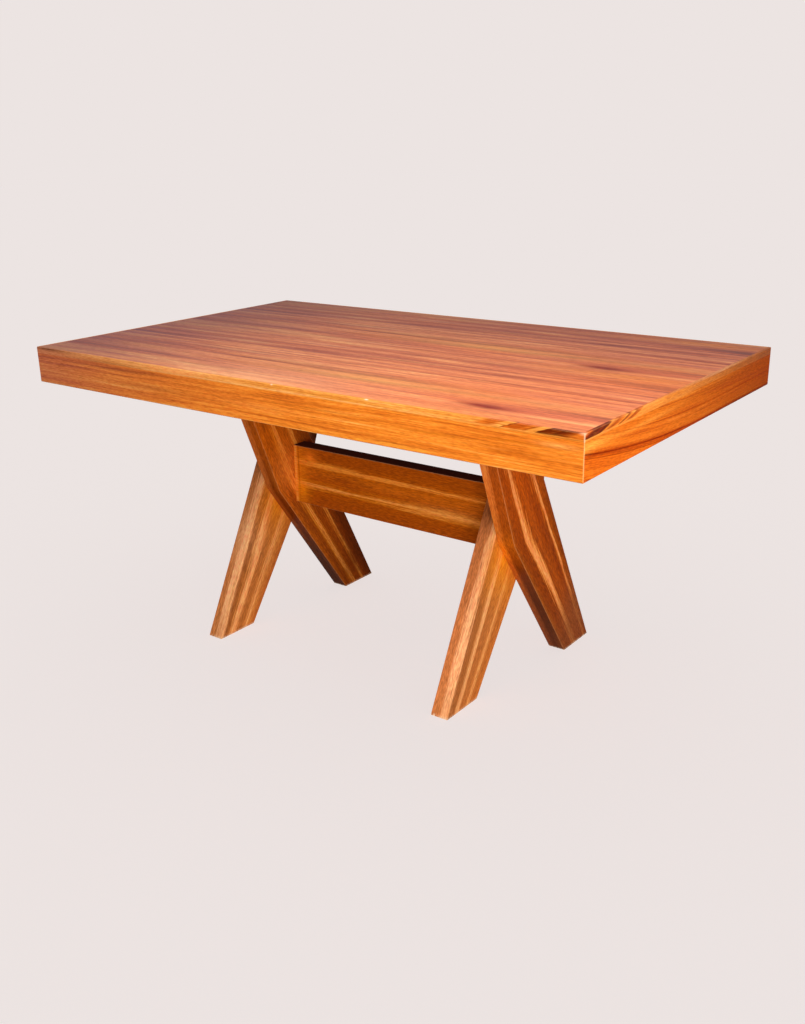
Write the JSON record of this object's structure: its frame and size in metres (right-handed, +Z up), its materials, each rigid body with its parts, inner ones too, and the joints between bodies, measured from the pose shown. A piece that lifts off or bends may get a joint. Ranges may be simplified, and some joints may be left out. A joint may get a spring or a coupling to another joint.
{
  "type": "sawbuck dining table",
  "caption": "Rectangular wooden dining table: deep-edged veneered top on X-shaped sawbuck trestles of crossing tapered boards, tied by a stretcher board set on edge.",
  "frame": {"origin": "on the floor under the middle of the table top", "axes": "+X along the length of the table, +Y across it towards the back, +Z up"},
  "size_m": [1.5, 0.9, 0.75],
  "materials": {
    "top_veneer": "satin lacquered veneer",
    "lipping_wood": "satin lacquer",
    "edge_wood": "satin lacquer",
    "leg_wood": "satin lacquer",
    "inner_wood": "planed, bare",
    "dowel_wood": "turned, bare",
    "screw_steel": "zinc plated"
  },
  "bodies": {
    "root": {"top_panel": "top_veneer", "stretcher": "leg_wood", "mitre_splines": "inner_wood", "corner_blocks": "inner_wood", "lipping_front": "lipping_wood", "edge_board_front": "edge_wood", "glue_blocks_front": "inner_wood", "lipping_right": "lipping_wood", "edge_board_right": "edge_wood", "glue_blocks_right": "inner_wood", "lipping_rear": "lipping_wood", "edge_board_rear": "edge_wood", "glue_blocks_rear": "inner_wood", "lipping_left": "lipping_wood", "edge_board_left": "edge_wood", "glue_blocks_left": "inner_wood", "left_rear_leg": "leg_wood", "left_front_leg": "leg_wood", "left_bearer": "inner_wood", "left_crossing_dowels": "dowel_wood", "left_bearer_pegs": "dowel_wood", "left_bearer_screws": "screw_steel", "right_rear_leg": "leg_wood", "right_front_leg": "leg_wood", "right_bearer": "inner_wood", "right_crossing_dowels": "dowel_wood", "right_bearer_pegs": "dowel_wood", "right_bearer_screws": "screw_steel"}
  },
  "joints": []
}
